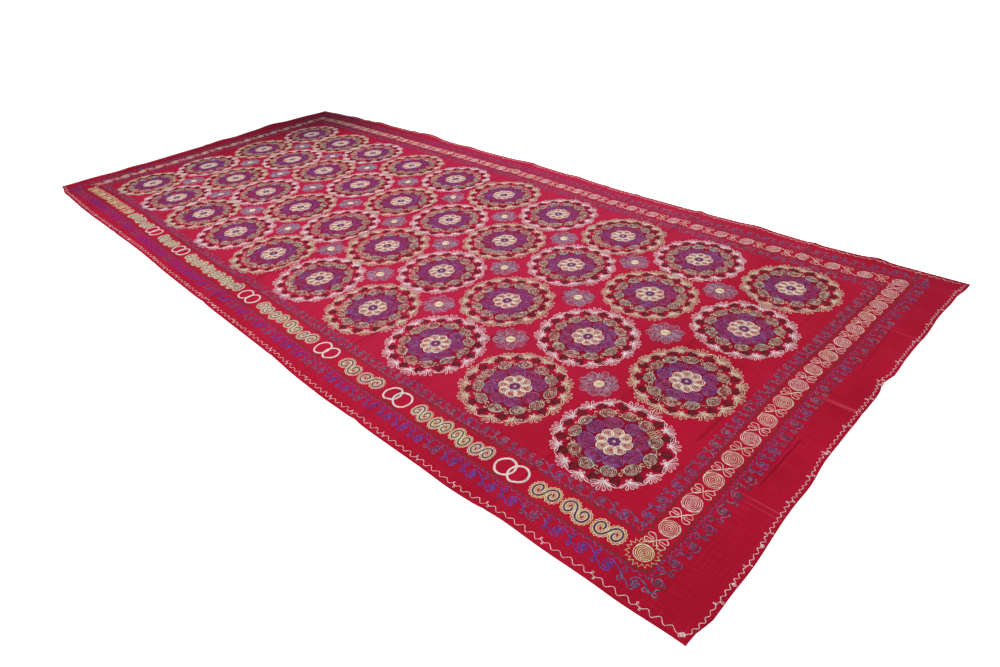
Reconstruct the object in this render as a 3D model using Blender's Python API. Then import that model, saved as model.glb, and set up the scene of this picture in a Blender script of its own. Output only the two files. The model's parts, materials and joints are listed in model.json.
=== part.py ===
"""A long embroidered cloth lying flat on the ground, modelled as one thin solid sheet.

The near end points along +X and the front long side faces -Y. Sizes are in metres and Z is up.
The underside lies on z = 0 everywhere except under the pressed folds, the wrinkles and the
stretches of edge that have lifted.
"""

import bisect
import math

import bmesh
import bpy

# The cloth as a whole
HALF_LENGTH = 2.475
HALF_WIDTH = 1.105
THICKNESS = 0.002
EDGE_REACH = 0.30
PLAIN_STEP = 0.10

CLOTH_RED = (0.376, 0.010, 0.032, 1.0)

# Each edge as places along it and how far out it lies there
FRONT_EDGE = [  # x, y
    (-2.47, -1.092), (-2.24, -1.118), (-1.74, -1.130), (-1.34, -1.126), (-0.94, -1.122),
    (-0.34, -1.133), (0.16, -1.137), (0.61, -1.138), (0.93, -1.149), (1.26, -1.140),
    (1.66, -1.129), (2.01, -1.105), (2.26, -1.095), (2.48, -1.082),
]
BACK_EDGE = [  # x, y
    (-2.47, 1.086), (-2.24, 1.110), (-1.99, 1.121), (-1.69, 1.134), (-1.34, 1.140),
    (-1.04, 1.149), (-0.81, 1.125), (-0.44, 1.120), (-0.04, 1.125), (0.36, 1.106),
    (0.76, 1.083), (1.26, 1.075), (1.56, 1.079), (1.86, 1.065), (2.16, 1.076), (2.51, 1.074),
]
NEAR_EDGE = [  # y, x
    (-1.08, 2.475), (-0.99, 2.489), (-0.80, 2.490), (-0.57, 2.481), (-0.44, 2.483),
    (-0.29, 2.474), (-0.07, 2.478), (0.11, 2.481), (0.18, 2.472), (0.26, 2.486),
    (0.43, 2.484), (0.60, 2.491), (0.73, 2.487), (0.91, 2.495), (1.08, 2.508),
]
FAR_EDGE = [  # y, x
    (-1.09, -2.428), (-0.92, -2.435), (-0.67, -2.421), (-0.37, -2.438), (-0.07, -2.456),
    (0.18, -2.468), (0.40, -2.497), (0.60, -2.510), (0.83, -2.502), (1.09, -2.480),
]

# Pressed folds: where the crest lies, how high it stands and how far its sides reach. Those
# across the cloth aren't quite square to it: lean is how far the crest shifts from front to back.
CROSS_FOLDS = [  # x, lean, height, reach
    (-1.861, 0.010, 0.004, 0.035),
    (-1.258, -0.012, 0.007, 0.045),
    (-0.621, 0.008, 0.004, 0.035),
    (-0.005, 0.014, 0.010, 0.050),
    (0.632, -0.008, 0.004, 0.035),
    (0.840, 0.010, 0.004, 0.035),
    (1.243, 0.036, 0.008, 0.045),
    (1.854, 0.030, 0.006, 0.040),
]
LONG_FOLDS = [  # y, height, reach
    (-0.568, 0.003, 0.030),
    (-0.030, 0.005, 0.040),
    (0.516, 0.003, 0.030),
]
SOFT_WRINKLES = [  # x and y of one end, x and y of the other, height, reach
    (2.372, -0.58, 2.388, 0.32, 0.005, 0.050),
    (2.145, -0.32, 2.162, 0.40, 0.004, 0.050),
    (0.207, -0.10, 0.411, -0.32, 0.006, 0.045),
    (-1.118, -1.04, -1.048, -0.64, 0.004, 0.040),
]

# Stretches of edge that have lifted off the ground: place along the edge, height, half length
NEAR_LIFTS = [  # y, height, half length
    (-0.90, 0.007, 0.10), (-0.52, 0.006, 0.09), (-0.14, 0.005, 0.08),
    (0.34, 0.008, 0.09), (0.64, 0.009, 0.12), (0.95, 0.006, 0.08),
]
BACK_LIFTS = [  # x, height, half length
    (-2.04, 0.006, 0.13), (-1.69, 0.008, 0.14), (-1.09, 0.010, 0.17), (-0.61, 0.006, 0.12),
    (-0.04, 0.007, 0.15), (0.39, 0.005, 0.10), (1.56, 0.006, 0.10), (2.14, 0.009, 0.07),
]
FRONT_LIFTS = [  # x, height, half length
    (-1.74, 0.004, 0.14), (-0.01, 0.005, 0.10), (0.93, 0.006, 0.16), (1.90, 0.005, 0.10),
]
FAR_LIFTS = [  # y, height, half length
    (-0.62, 0.005, 0.12), (0.08, 0.006, 0.14), (0.56, 0.008, 0.16),
]
LIFT_DEPTH = 0.13


def smooth(t):
    """Runs from 0 to 1 with no slope at either end."""
    t = min(max(t, 0.0), 1.0)
    return t * t * (3.0 - 2.0 * t)


def along(points, place):
    """The value at a place along a table of places and values, eased from one to the next."""
    places = [point[0] for point in points]
    i = min(max(bisect.bisect_right(places, place), 1), len(points) - 1)
    (a, at_a), (b, at_b) = points[i - 1], points[i]
    return at_a + (at_b - at_a) * smooth((place - a) / (b - a))


def ridge(distance, height, reach):
    """A pressed crest whose sides sweep down to the ground."""
    return height * max(0.0, 1.0 - abs(distance) / reach) ** 1.5


def wrinkle(x, y, x0, y0, x1, y1, height, reach):
    """A soft ridge along a segment, highest at its middle."""
    dx, dy = x1 - x0, y1 - y0
    t = ((x - x0) * dx + (y - y0) * dy) / (dx * dx + dy * dy)
    t = min(max(t, 0.0), 1.0)
    gap = math.hypot(x - x0 - t * dx, y - y0 - t * dy)
    return ridge(gap, height, reach) * math.sin(math.pi * t)


def lifted(place, inward, lifts):
    """The height of a lifted edge at a place along it and a distance in from it."""
    fade = 1.0 - smooth(inward / LIFT_DEPTH)
    return max(height * smooth(1.0 - abs(place - at) / half) for at, height, half in lifts) * fade


def height_at(x, y):
    """How far the underside stands off the ground at a point of the straight grid."""
    heights = [ridge(x - at, height, reach) for at, lean, height, reach in CROSS_FOLDS]
    heights += [ridge(y - at, height, reach) for at, height, reach in LONG_FOLDS]
    heights += [wrinkle(x, y, *row) for row in SOFT_WRINKLES]
    heights += [
        lifted(y, HALF_LENGTH - x, NEAR_LIFTS),
        lifted(y, HALF_LENGTH + x, FAR_LIFTS),
        lifted(x, HALF_WIDTH - y, BACK_LIFTS),
        lifted(x, HALF_WIDTH + y, FRONT_LIFTS),
    ]
    return max(heights)


def stations(half, crests):
    """Grid lines from -half to half: on each crest, down its sides and at its feet, and between."""
    fixed = {-half, half, LIFT_DEPTH - half, half - LIFT_DEPTH}
    for at, reach in crests:
        fixed |= {at - reach, at - reach / 3, at, at + reach / 3, at + reach}
    lines = sorted(fixed)
    spread = []
    for a, b in zip(lines, lines[1:]):
        pieces = max(1, round((b - a) / PLAIN_STEP))
        spread += [a + (b - a) * k / pieces for k in range(pieces)]
    return spread + [half]


def placed(x, y):
    """A point of the straight grid, moved so that the rim and the folds lie as they do."""
    leans = [(-HALF_LENGTH, 0.0)] + [fold[:2] for fold in CROSS_FOLDS] + [(HALF_LENGTH, 0.0)]
    near = smooth(1.0 - (HALF_LENGTH - x) / EDGE_REACH)
    far = smooth(1.0 - (HALF_LENGTH + x) / EDGE_REACH)
    back = smooth(1.0 - (HALF_WIDTH - y) / EDGE_REACH)
    front = smooth(1.0 - (HALF_WIDTH + y) / EDGE_REACH)
    new_x = x + along(leans, x) * y / (2.0 * HALF_WIDTH)
    new_x += near * (along(NEAR_EDGE, y) - HALF_LENGTH)
    new_x += far * (along(FAR_EDGE, y) + HALF_LENGTH)
    new_y = y + back * (along(BACK_EDGE, x) - HALF_WIDTH)
    new_y += front * (along(FRONT_EDGE, x) + HALF_WIDTH)
    return new_x, new_y


def cloth_mesh():
    """The sheet: an upper and a lower skin on the same grid, joined by a rim."""
    columns = stations(HALF_LENGTH, [(at, reach) for at, lean, height, reach in CROSS_FOLDS])
    rows = stations(HALF_WIDTH, [(at, reach) for at, height, reach in LONG_FOLDS])
    bm = bmesh.new()
    lower, upper = {}, {}
    for i, x in enumerate(columns):
        for j, y in enumerate(rows):
            new_x, new_y = placed(x, y)
            z = height_at(x, y)
            lower[i, j] = bm.verts.new((new_x, new_y, z))
            upper[i, j] = bm.verts.new((new_x, new_y, z + THICKNESS))
    last_i, last_j = len(columns) - 1, len(rows) - 1
    for i in range(last_i):
        for j in range(last_j):
            ring = [(i, j), (i + 1, j), (i + 1, j + 1), (i, j + 1)]
            bm.faces.new([upper[at] for at in ring])
            bm.faces.new([lower[at] for at in reversed(ring)])
    rim = [(i, 0) for i in range(last_i)]
    rim += [(last_i, j) for j in range(last_j)]
    rim += [(i, last_j) for i in range(last_i, 0, -1)]
    rim += [(0, j) for j in range(last_j, 0, -1)]
    for a, b in zip(rim, rim[1:] + rim[:1]):
        bm.faces.new([lower[a], lower[b], upper[b], upper[a]])
    bmesh.ops.recalc_face_normals(bm, faces=bm.faces)
    mesh = bpy.data.meshes.new("cloth")
    bm.to_mesh(mesh)
    bm.free()
    return mesh


def cloth_material():
    """Red cotton."""
    material = bpy.data.materials.new("cloth")
    material.use_nodes = True
    shader = material.node_tree.nodes["Principled BSDF"]
    shader.inputs["Base Color"].default_value = CLOTH_RED
    shader.inputs["Roughness"].default_value = 0.85
    shader.inputs["Metallic"].default_value = 0.0
    return material


def main():
    for old in list(bpy.data.objects):
        bpy.data.objects.remove(old)
    cloth = bpy.data.objects.new("cloth", cloth_mesh())
    cloth.data.materials.append(cloth_material())
    bpy.context.scene.collection.objects.link(cloth)


main()
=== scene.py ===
import bisect
import json
import math
import random

import bpy
from mathutils import Matrix, Vector, noise

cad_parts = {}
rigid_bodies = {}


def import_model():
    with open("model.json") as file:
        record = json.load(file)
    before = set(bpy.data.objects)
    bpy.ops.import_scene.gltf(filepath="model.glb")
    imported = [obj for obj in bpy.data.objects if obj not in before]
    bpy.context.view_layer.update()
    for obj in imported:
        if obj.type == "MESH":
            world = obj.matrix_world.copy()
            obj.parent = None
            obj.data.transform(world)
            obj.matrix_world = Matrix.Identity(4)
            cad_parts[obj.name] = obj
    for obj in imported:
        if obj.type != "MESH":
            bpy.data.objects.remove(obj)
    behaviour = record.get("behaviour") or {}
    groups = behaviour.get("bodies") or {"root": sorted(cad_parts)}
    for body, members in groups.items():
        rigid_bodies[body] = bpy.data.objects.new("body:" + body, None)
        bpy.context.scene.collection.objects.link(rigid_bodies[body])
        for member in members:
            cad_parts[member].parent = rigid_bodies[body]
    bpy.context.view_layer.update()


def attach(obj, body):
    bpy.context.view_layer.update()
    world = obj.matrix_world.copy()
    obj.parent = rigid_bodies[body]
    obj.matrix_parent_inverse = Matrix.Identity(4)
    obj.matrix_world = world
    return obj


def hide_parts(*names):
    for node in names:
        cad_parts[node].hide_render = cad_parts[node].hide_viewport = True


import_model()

# The ground
# One long panel of plain-woven red cotton, pressed into folds for storage and laid out flat. Its raw
# edges are turned under as a narrow hem, and parts of the edge have lifted off the floor.
HALF_LENGTH = 2.475
HALF_WIDTH = 1.105
THICKNESS = 0.002
EDGE_REACH = 0.30
FINE_STEP = 0.030
HEM_WIDTH = 0.012
HEM_RISE = 0.0007
BUCKLE = 0.0016

FRONT_EDGE = [  # x, y
    (-2.47, -1.092), (-2.24, -1.118), (-1.74, -1.130), (-1.34, -1.126), (-0.94, -1.122),
    (-0.34, -1.133), (0.16, -1.137), (0.61, -1.138), (0.93, -1.149), (1.26, -1.140),
    (1.66, -1.129), (2.01, -1.105), (2.26, -1.095), (2.48, -1.082),
]
BACK_EDGE = [  # x, y
    (-2.47, 1.086), (-2.24, 1.110), (-1.99, 1.121), (-1.69, 1.134), (-1.34, 1.140),
    (-1.04, 1.149), (-0.81, 1.125), (-0.44, 1.120), (-0.04, 1.125), (0.36, 1.106),
    (0.76, 1.083), (1.26, 1.075), (1.56, 1.079), (1.86, 1.065), (2.16, 1.076), (2.51, 1.074),
]
NEAR_EDGE = [  # y, x
    (-1.08, 2.475), (-0.99, 2.489), (-0.80, 2.490), (-0.57, 2.481), (-0.44, 2.483),
    (-0.29, 2.474), (-0.07, 2.478), (0.11, 2.481), (0.18, 2.472), (0.26, 2.486),
    (0.43, 2.484), (0.60, 2.491), (0.73, 2.487), (0.91, 2.495), (1.08, 2.508),
]
FAR_EDGE = [  # y, x
    (-1.09, -2.428), (-0.92, -2.435), (-0.67, -2.421), (-0.37, -2.438), (-0.07, -2.456),
    (0.18, -2.468), (0.40, -2.497), (0.60, -2.510), (0.83, -2.502), (1.09, -2.480),
]
CROSS_FOLDS = [  # x, lean, height, reach
    (-1.861, 0.010, 0.004, 0.035),
    (-1.258, -0.012, 0.007, 0.045),
    (-0.621, 0.008, 0.004, 0.035),
    (-0.005, 0.014, 0.010, 0.050),
    (0.632, -0.008, 0.004, 0.035),
    (0.840, 0.010, 0.004, 0.035),
    (1.243, 0.036, 0.008, 0.045),
    (1.854, 0.030, 0.006, 0.040),
]
LONG_FOLDS = [  # y, height, reach
    (-0.568, 0.003, 0.030),
    (-0.030, 0.005, 0.040),
    (0.516, 0.003, 0.030),
]
SOFT_WRINKLES = [  # x and y of one end, x and y of the other, height, reach
    (2.372, -0.58, 2.388, 0.32, 0.005, 0.050),
    (2.145, -0.32, 2.162, 0.40, 0.004, 0.050),
    (0.207, -0.10, 0.411, -0.32, 0.006, 0.045),
    (-1.118, -1.04, -1.048, -0.64, 0.004, 0.040),
]
NEAR_LIFTS = [  # y, height, half length
    (-0.90, 0.007, 0.10), (-0.52, 0.006, 0.09), (-0.14, 0.005, 0.08),
    (0.34, 0.008, 0.09), (0.64, 0.009, 0.12), (0.95, 0.006, 0.08),
]
BACK_LIFTS = [  # x, height, half length
    (-2.04, 0.006, 0.13), (-1.69, 0.008, 0.14), (-1.09, 0.010, 0.17), (-0.61, 0.006, 0.12),
    (-0.04, 0.007, 0.15), (0.39, 0.005, 0.10), (1.56, 0.006, 0.10), (2.14, 0.009, 0.07),
]
FRONT_LIFTS = [  # x, height, half length
    (-1.74, 0.004, 0.14), (-0.01, 0.005, 0.10), (0.93, 0.006, 0.16), (1.90, 0.005, 0.10),
]
FAR_LIFTS = [  # y, height, half length
    (-0.62, 0.005, 0.12), (0.08, 0.006, 0.14), (0.56, 0.008, 0.16),
]
LIFT_DEPTH = 0.13


def smooth(t):
    """Runs from 0 to 1 with no slope at either end."""
    t = min(max(t, 0.0), 1.0)
    return t * t * (3.0 - 2.0 * t)


def along(points, place):
    """The value at a place along a table of places and values, eased from one to the next."""
    places = [point[0] for point in points]
    i = min(max(bisect.bisect_right(places, place), 1), len(points) - 1)
    (a, at_a), (b, at_b) = points[i - 1], points[i]
    return at_a + (at_b - at_a) * smooth((place - a) / (b - a))


def ridge(distance, height, reach):
    """A pressed crest whose sides sweep down to the ground."""
    return height * max(0.0, 1.0 - abs(distance) / reach) ** 1.5


def wrinkle(x, y, x0, y0, x1, y1, height, reach):
    """A soft ridge along a segment, highest at its middle."""
    dx, dy = x1 - x0, y1 - y0
    t = ((x - x0) * dx + (y - y0) * dy) / (dx * dx + dy * dy)
    t = min(max(t, 0.0), 1.0)
    gap = math.hypot(x - x0 - t * dx, y - y0 - t * dy)
    return ridge(gap, height, reach) * math.sin(math.pi * t)


def lifted(place, inward, lifts):
    """The height of a lifted edge at a place along it and a distance in from it."""
    fade = 1.0 - smooth(inward / LIFT_DEPTH)
    return max(height * smooth(1.0 - abs(place - at) / half) for at, height, half in lifts) * fade


def height_at(x, y):
    """How far the underside stands off the floor at a point of the straight grid."""
    heights = [ridge(x - at, height, reach) for at, lean, height, reach in CROSS_FOLDS]
    heights += [ridge(y - at, height, reach) for at, height, reach in LONG_FOLDS]
    heights += [wrinkle(x, y, *row) for row in SOFT_WRINKLES]
    heights += [
        lifted(y, HALF_LENGTH - x, NEAR_LIFTS),
        lifted(y, HALF_LENGTH + x, FAR_LIFTS),
        lifted(x, HALF_WIDTH - y, BACK_LIFTS),
        lifted(x, HALF_WIDTH + y, FRONT_LIFTS),
    ]
    buckled = BUCKLE * max(0.0, 0.5 + noise.noise(Vector((x * 3.1, y * 4.3, 0.0))))
    return max(heights) + buckled


def placed(x, y):
    """A point of the straight grid, moved so that the rim and the folds lie as they do."""
    leans = [(-HALF_LENGTH, 0.0)] + [fold[:2] for fold in CROSS_FOLDS] + [(HALF_LENGTH, 0.0)]
    near = smooth(1.0 - (HALF_LENGTH - x) / EDGE_REACH)
    far = smooth(1.0 - (HALF_LENGTH + x) / EDGE_REACH)
    back = smooth(1.0 - (HALF_WIDTH - y) / EDGE_REACH)
    front = smooth(1.0 - (HALF_WIDTH + y) / EDGE_REACH)
    new_x = x + along(leans, x) * y / (2.0 * HALF_WIDTH)
    new_x += near * (along(NEAR_EDGE, y) - HALF_LENGTH)
    new_x += far * (along(FAR_EDGE, y) + HALF_LENGTH)
    new_y = y + back * (along(BACK_EDGE, x) - HALF_WIDTH)
    new_y += front * (along(FRONT_EDGE, x) + HALF_WIDTH)
    return new_x, new_y


def fine_lines(half, crests):
    """Grid lines from -half to half, closest together on the folds and the hem."""
    fixed = set()
    for inward in (0.0, 0.0015, 0.004, HEM_WIDTH - 0.0015, HEM_WIDTH + 0.0015):
        fixed |= {inward - half, half - inward}
    for at, reach in crests:
        for share in (0.05, 0.16, 0.33, 0.6, 1.0):
            fixed |= {at - share * reach, at + share * reach}
        fixed.add(at)
    lines = sorted(fixed)
    spread = []
    for a, b in zip(lines, lines[1:]):
        pieces = max(1, round((b - a) / FINE_STEP))
        spread += [a + (b - a) * k / pieces for k in range(pieces)]
    return spread + [half]


def skin_heights(x, y):
    """The heights of the underside and of the upper side, which is rounded at the rim."""
    inward = min(HALF_LENGTH - abs(x), HALF_WIDTH - abs(y))
    under = height_at(x, y)
    hem = HEM_RISE * (1.0 - smooth((inward - HEM_WIDTH + 0.0015) / 0.003))
    rim = 1.0 - (1.0 - min(inward / 0.004, 1.0)) ** 2 * 0.6
    return under, under + (THICKNESS + hem) * rim


def cloth_mesh():
    """The sheet as two fine skins and a rim, with a flat map that holds one skin above the other."""
    columns = fine_lines(HALF_LENGTH, [(at, reach) for at, lean, height, reach in CROSS_FOLDS])
    rows = fine_lines(HALF_WIDTH, [(at, reach) for at, height, reach in LONG_FOLDS])
    across, up = len(columns), len(rows)
    points = []
    for x in columns:
        for y in rows:
            new_x, new_y = placed(x, y)
            under, over = skin_heights(x, y)
            points.append((new_x, new_y, under))
            points.append((new_x, new_y, over))

    def low(i, j):
        return 2 * (i * up + j)

    faces = []
    for i in range(across - 1):
        for j in range(up - 1):
            ring = [low(i, j), low(i + 1, j), low(i + 1, j + 1), low(i, j + 1)]
            faces.append([at + 1 for at in ring])
            faces.append(ring[::-1])
    rim = [(i, 0) for i in range(across - 1)]
    rim += [(across - 1, j) for j in range(up - 1)]
    rim += [(i, up - 1) for i in range(across - 1, 0, -1)]
    rim += [(0, j) for j in range(up - 1, 0, -1)]
    for a, b in zip(rim, rim[1:] + rim[:1]):
        faces.append([low(*a), low(*b), low(*b) + 1, low(*a) + 1])
    mesh = bpy.data.meshes.new("cloth_ground")
    mesh.from_pydata(points, [], faces)
    mesh.shade_smooth()
    flat_map = mesh.uv_layers.new(name="OFBake")
    for face in mesh.polygons:
        side = 0.0 if face.normal.z > 0.0 else 0.5
        for corner in face.loop_indices:
            place = mesh.vertices[mesh.loops[corner].vertex_index].co
            flat_map.uv[corner].vector = (place.x / 5.10 + 0.5, place.y / 5.0 + 0.25 + side)
    return mesh


class Wire:
    """An output in a node tree. Arithmetic on it adds Math nodes to the tree."""

    def __init__(self, kit, socket):
        self.kit = kit
        self.socket = socket

    def other(self, name):
        """Another output of the same node."""
        return Wire(self.kit, self.socket.node.outputs[name])

    def maths(self, operation, *others):
        return self.kit.maths(operation, self, *others)

    def __add__(self, value):
        return self.maths("ADD", value)

    def __radd__(self, value):
        return self.kit.maths("ADD", value, self)

    def __sub__(self, value):
        return self.maths("SUBTRACT", value)

    def __rsub__(self, value):
        return self.kit.maths("SUBTRACT", value, self)

    def __mul__(self, value):
        return self.maths("MULTIPLY", value)

    def __rmul__(self, value):
        return self.kit.maths("MULTIPLY", value, self)

    def __truediv__(self, value):
        return self.maths("DIVIDE", value)

    def __rtruediv__(self, value):
        return self.kit.maths("DIVIDE", value, self)

    def __pow__(self, value):
        return self.maths("POWER", value)

    def __abs__(self):
        return self.maths("ABSOLUTE")

    def clamped(self):
        return self.maths("MAXIMUM", 0.0).maths("MINIMUM", 1.0)


class Kit:
    """Adds nodes to one tree, each with its settings first and then what its sockets hold."""

    def __init__(self, tree):
        self.tree = tree

    def add(self, kind, settings=None, values=None, output=0):
        node = self.tree.nodes.new(kind)
        for name, value in (settings or {}).items():
            if name == "stops":
                ramp = node.color_ramp.elements
                while len(ramp) > 1:
                    ramp.remove(ramp[-1])
                for k, (place, colour) in enumerate(value):
                    stop = ramp[0] if k == 0 else ramp.new(place)
                    stop.position = place
                    stop.color = colour
            elif name == "blend":
                node.color_ramp.interpolation = value
            else:
                setattr(node, name, value)
        for place, value in (values or {}).items():
            if isinstance(value, Wire):
                self.tree.links.new(value.socket, node.inputs[place])
            else:
                node.inputs[place].default_value = value
        return Wire(self, node.outputs[output]) if len(node.outputs) else None

    def maths(self, operation, *values):
        return self.add("ShaderNodeMath", {"operation": operation}, dict(enumerate(values)))

    def mixed(self, factor, first, second, way="MIX"):
        """One colour over another, by the factor."""
        settings = {"data_type": "RGBA", "blend_type": way}
        return self.add("ShaderNodeMix", settings, {0: factor, 6: first, 7: second}, output=2)


def dye(red, green, blue):
    """A colour as it is read off a screen, from 0 to 255 each, in the linear form that shaders take."""
    linear = []
    for value in (red, green, blue):
        share = value / 255.0
        linear.append(share / 12.92 if share <= 0.04045 else ((share + 0.055) / 1.055) ** 2.4)
    return (*linear, 1.0)


def new_material(name, roughness, gloss, sheen):
    material = bpy.data.materials.new(name)
    material.use_nodes = True
    material.node_tree.nodes.clear()
    kit = Kit(material.node_tree)
    shader = kit.add("ShaderNodeBsdfPrincipled", None, {
        "Roughness": roughness,
        "Specular IOR Level": gloss,
        "Sheen Weight": sheen,
        "Sheen Roughness": 0.35,
        "Sheen Tint": dye(255, 120, 200),
    })
    kit.add("ShaderNodeOutputMaterial", None, {"Surface": shader})
    return material, kit, shader.socket.node.inputs


PALE_FOLDS = [  # y, half width, strength; they show in the near margin
    (-0.030, 0.012, 0.40), (-0.582, 0.004, 0.34), (-0.602, 0.003, 0.30), (0.520, 0.008, 0.18),
]
FOLD_SHADOWS = [0.35, 0.55, 0.35, 0.62, 0.30, 0.35, 0.70, 0.60]  # one for each row of CROSS_FOLDS
PITCH_ALONG = 0.4335
PITCH_ACROSS = 0.420
GRID_SHIFT = (0.012, -0.022)
# Painted shade: thin dark lines in the colour where sharp creases in the near margin fall into shade.
CREASE_SHADOWS = [  # x, y of one end, y of the other, lean, half width, strength
    (2.380, -0.54, -0.24, 0.03, 0.0030, 0.75),
    (2.366, -0.34, -0.22, -0.05, 0.0025, 0.60),
    (2.148, -0.50, -0.28, 0.02, 0.0080, 0.40),
    (2.120, 0.30, 0.62, 0.04, 0.0060, 0.30),
    (2.385, 0.20, 0.55, -0.02, 0.0040, 0.35),
]


def cotton():
    """Worn red cotton: a plain weave, streaks along the yarns, pale worn lines at the folds, painted shade
    along the folds and creases and inside the medallions, and a pinker middle painted as sheen.
    """
    material, kit, shader = new_material("red_cotton", 0.8, 0.10, 0.24)
    place = kit.add("ShaderNodeTexCoord", None, None, "Object")
    x = kit.add("ShaderNodeSeparateXYZ", None, {0: place}, "X")
    y = x.other("Y")
    cloudy = kit.add("ShaderNodeTexNoise", None, {"Vector": place, "Scale": 2.6, "Detail": 5.0})
    colour = kit.mixed(((cloudy - 0.35) * 3.0).clamped(), dye(170, 6, 40), dye(187, 12, 50))
    # Painted sheen: the base colour turns pinker over the middle of the cloth, away from the near margin
    # and the far corner at the back, standing in for the sheen of the light seen at a low angle.
    painted_sheen = ((1.90 - x) * 1.1).clamped() * ((y + 1.15) * 2.2).clamped()
    painted_sheen = painted_sheen * ((x + 2.5 - (y + 1.1) * 0.45) * 1.2).clamped()
    colour = kit.mixed(painted_sheen * 0.7, colour, dye(191, 34, 75))
    for squash, amount in (((9.0, 260.0, 1.0), 0.40), ((260.0, 9.0, 1.0), 0.34)):
        turned = kit.add("ShaderNodeMapping", None, {"Vector": place, "Scale": squash})
        yarn = kit.add("ShaderNodeTexNoise", None, {"Vector": turned, "Scale": 1.0, "Detail": 3.0})
        colour = kit.mixed(((yarn - 0.5) * amount).clamped(), colour, dye(232, 70, 100))
        colour = kit.mixed(((0.5 - yarn) * amount * 1.6).clamped(), colour, dye(105, 2, 22))

    margin = ((x - 2.32) * 12.0).clamped()
    for at, half, strength in PALE_FOLDS:
        band = (1.0 - abs(y - at) / half).clamped()
        colour = kit.mixed(band * margin * strength, colour, dye(232, 90, 118))
    patchy = kit.add("ShaderNodeTexNoise", None, {"Vector": place, "Scale": 4.0, "Detail": 2.0})
    patchy = ((patchy - 0.40) * 5.0).clamped() * 0.7 + 0.3
    # Painted shade along the crest of each cross fold, broken up by a patchy noise.
    for (at, lean, height, reach), strength in zip(CROSS_FOLDS, FOLD_SHADOWS):
        line = (1.0 - abs(x - y * (lean / (2.0 * HALF_WIDTH)) - at) / 0.011).clamped() ** 1.6
        colour = kit.mixed(line * patchy * strength, colour, dye(72, 0, 14))
    # Painted shade along each sharp crease.
    for at, start, end, lean, half, strength in CREASE_SHADOWS:
        line = (1.0 - abs(x - (y - (start + end) / 2.0) * lean - at) / half).clamped()
        inside = ((y - start) * 25.0).clamped() * ((end - y) * 25.0).clamped()
        colour = kit.mixed(line * inside * strength, colour, dye(60, 0, 12))
    # Inside each medallion the cotton is darker: painted shade between the stitches, and in part the colour
    # of thread between the motifs.
    off_x = ((x - GRID_SHIFT[0]) / PITCH_ALONG).maths("FRACT") - 0.5
    off_y = ((y - GRID_SHIFT[1]) / PITCH_ACROSS).maths("FRACT") - 0.5
    far = (off_x * off_x * PITCH_ALONG ** 2 + off_y * off_y * PITCH_ACROSS ** 2).maths("SQRT")
    in_field = ((2.15 - abs(x)) * 40.0).clamped() * ((0.84 - abs(y)) * 40.0).clamped()
    colour = kit.mixed(((0.165 - far) * 40.0).clamped() * in_field * 0.5, colour, dye(84, 2, 26))
    kit.tree.links.new(colour.socket, shader["Base Color"])

    warp = (x * (2.0 * math.pi / 0.0011)).maths("SINE")
    weft = (y * (2.0 * math.pi / 0.0011)).maths("SINE")
    slub = kit.add("ShaderNodeTexNoise", None, {"Vector": place, "Scale": 90.0, "Detail": 2.0})
    weave = warp * weft * 0.5 + slub
    bump = kit.add("ShaderNodeBump", None, {"Strength": 0.35, "Distance": 0.0002, "Height": weave})
    kit.tree.links.new(bump.socket, shader["Normal"])
    return material


ground = bpy.data.objects.new("cloth_ground", cloth_mesh())
bpy.context.scene.collection.objects.link(ground)
ground.data.materials.append(cotton())
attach(ground, "root")
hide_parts("cloth")

# The heart of each medallion
# A violet spiral disc round a cream dot, in cotton thread worked with a hook from the right side.
# Every line of chain stitch lies on the cloth as a narrow raised cord.
HEART_RADIUS = 0.0195
DOT_RADIUS = 0.0045
THREAD_WIDTH = 0.0028
THREAD_HEIGHT = 0.0011
THREAD_SINK = 0.0002
STITCH_LENGTH = 0.0042
DYE_LENGTH = 0.60

ROW_SHIFTS = [  # each row from the front: a place along it, and the shift there along and across
    [(0, -0.010, 0.005), (3, -0.004, -0.007), (6, -0.003, -0.014), (9, 0.028, -0.005)],
    [(0, 0.002, -0.003), (3, -0.020, -0.007), (6, -0.017, -0.008), (9, 0.012, -0.015)],
    [(0, -0.002, 0.004), (4, -0.008, -0.004), (7, -0.032, 0.020), (9, 0.005, 0.004)],
    [(0, -0.002, -0.007), (2, 0.006, -0.022), (5, -0.016, 0.022), (7, -0.045, 0.020), (9, -0.008, 0.015)],
]


def grid_spot(along_row, across_row):
    """A point of the medallion grid: whole numbers are centres, (0, 0) is nearest to the viewer."""
    x = (4.5 - along_row) * PITCH_ALONG + GRID_SHIFT[0]
    y = (across_row - 1.5) * PITCH_ACROSS + GRID_SHIFT[1]
    below = min(int(across_row), len(ROW_SHIFTS) - 2)
    for row, share in ((below, below + 1 - across_row), (below + 1, across_row - below)):
        x += share * along([(at, shift) for at, shift, _ in ROW_SHIFTS[row]], along_row)
        y += share * along([(at, shift) for at, _, shift in ROW_SHIFTS[row]], along_row)
    return x, y


def spiral(turns, points, start=0.1, close=0.7):
    """A round spiral of radius 1 from its middle outwards, whose last part closes on itself."""
    line = []
    for k in range(points + 1):
        angle = 2.0 * math.pi * turns * (k / points) ** 0.72
        far = start + (1.0 - start) * min(1.0, angle / (2.0 * math.pi * (turns - close)))
        line.append((far * math.cos(angle), far * math.sin(angle)))
    return line


def spot(x, y, turn=0.0, wide=1.0, tall=1.0, motif=0, shade=0):
    """A place for a motif: where its middle is, its turn, its size, which motif and which shade."""
    return x, y, turn, wide, tall, motif, shade


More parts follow.
